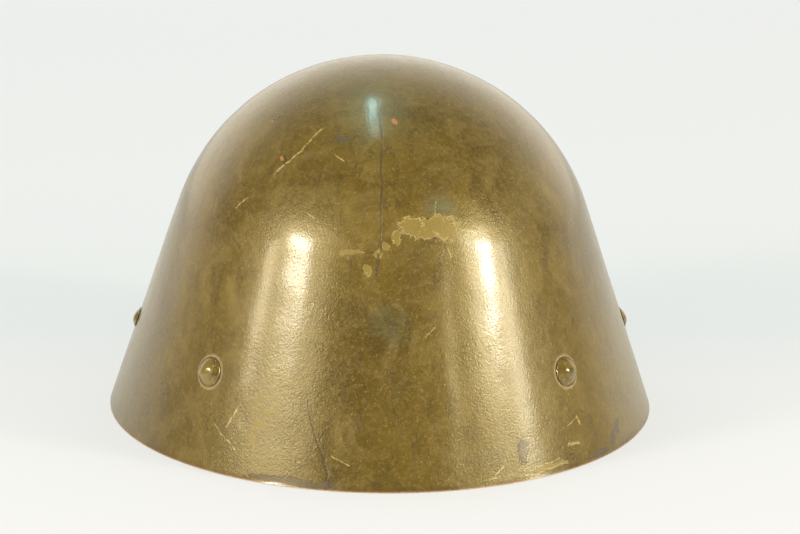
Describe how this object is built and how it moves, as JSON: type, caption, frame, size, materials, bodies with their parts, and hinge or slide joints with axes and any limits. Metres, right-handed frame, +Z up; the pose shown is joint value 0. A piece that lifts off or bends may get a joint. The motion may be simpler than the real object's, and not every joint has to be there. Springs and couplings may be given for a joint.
{
  "type": "civil defence helmet",
  "caption": "Bell-shaped pressed steel helmet with a raw rim, domed shell rivets, a felt and leather liner with laced tongues, and a chin strap with a roller buckle.",
  "frame": {"origin": "middle of the rim, on the plane that the helmet rests on", "axes": "+Z up through the crown, -Y towards the front, +X to the right as seen from the front"},
  "size_m": [0.24, 0.28, 0.1545],
  "materials": {
    "shell_paint": "satin olive-brown enamel, worn and mottled",
    "rivet_paint": "gloss olive-brown enamel, chipped",
    "band_steel": "dull zinc-coated strip",
    "bright_steel": "worn bright steel",
    "rivet_brass": "tarnished",
    "felt": "pressed grey felt",
    "liner_leather": "tan sheepskin leather, worn smooth",
    "strap_leather": "dark brown strap leather",
    "lace_cord": "twisted cotton lace"
  },
  "bodies": {
    "helmet": {"shell": "shell_paint", "shell_rivets": "rivet_paint", "rivet_washers": "bright_steel", "band_brackets": "band_steel", "bracket_rivets": "bright_steel", "liner_band": "band_steel", "splice_plate": "band_steel", "splice_rivets": "bright_steel", "felt_ring": "felt", "sweatband": "liner_leather", "liner_rivets": "rivet_brass", "tongue_1": "liner_leather", "tongue_2": "liner_leather", "tongue_3": "liner_leather", "tongue_4": "liner_leather", "tongue_5": "liner_leather", "tongue_6": "liner_leather", "tongue_7": "liner_leather", "tongue_8": "liner_leather", "lace": "lace_cord", "left_lug": "band_steel", "right_lug": "band_steel", "lug_rivets": "bright_steel"},
    "left_ring": {"left_ring": "bright_steel"},
    "right_ring": {"right_ring": "bright_steel"},
    "plain_strap": {"plain_strap": "strap_leather", "plain_strap_rivet": "rivet_brass"},
    "plain_strap_tip": {"plain_strap_tip": "strap_leather"},
    "buckle_strap": {"buckle_strap": "strap_leather", "buckle_strap_rivets": "rivet_brass"},
    "strap_keeper": {"strap_keeper": "strap_leather"},
    "buckle_frame": {"buckle_frame": "bright_steel"},
    "buckle_prong": {"buckle_prong": "bright_steel"},
    "buckle_roller": {"buckle_roller": "bright_steel"}
  },
  "joints": [
    {"name": "left_ring_swing", "type": "hinge", "parent": "helmet", "child": "left_ring", "pos_m": [-0.09547, -0.00404, 0.01746], "axis": [-0.0075, 1, 0], "range_deg": [0, 60]},
    {"name": "right_ring_swing", "type": "hinge", "parent": "helmet", "child": "right_ring", "pos_m": [0.09547, -0.00404, 0.01746], "axis": [-0.0075, -1, 0], "range_deg": [0, 60]},
    {"name": "plain_strap_swing", "type": "hinge", "parent": "left_ring", "child": "plain_strap", "pos_m": [-0.08747, -0.00398, 0.0036], "axis": [-0.0075, 1, 0], "range_deg": [0, 95]},
    {"name": "plain_strap_bend", "type": "hinge", "parent": "plain_strap", "child": "plain_strap_tip", "pos_m": [0.0095, 0.01035, 0.00195], "axis": [0.1219, -0.9925, 0], "range_deg": [-50, 8]},
    {"name": "buckle_strap_swing", "type": "hinge", "parent": "right_ring", "child": "buckle_strap", "pos_m": [0.08747, -0.00398, 0.0036], "axis": [-0.0075, -1, 0], "range_deg": [0, 95]},
    {"name": "keeper_slide", "type": "slide", "parent": "buckle_strap", "child": "strap_keeper", "axis": [-0.9925, -0.1219, 0], "range_m": [-0.042, 0.004]},
    {"name": "buckle_tilt", "type": "hinge", "parent": "buckle_strap", "child": "buckle_frame", "pos_m": [-0.01546, -0.01903, 0.0036], "axis": [-0.1219, 0.9925, 0], "range_deg": [-60, 60]},
    {"name": "prong_lift", "type": "hinge", "parent": "buckle_frame", "child": "buckle_prong", "pos_m": [-0.01546, -0.01903, 0.0036], "axis": [-0.1219, 0.9925, 0], "range_deg": [0, 70]},
    {"name": "roller_spin", "type": "hinge", "parent": "buckle_frame", "child": "buckle_roller", "pos_m": [-0.03929, -0.02196, 0.0036], "axis": [0.1219, -0.9925, 0], "continuous": true}
  ]
}
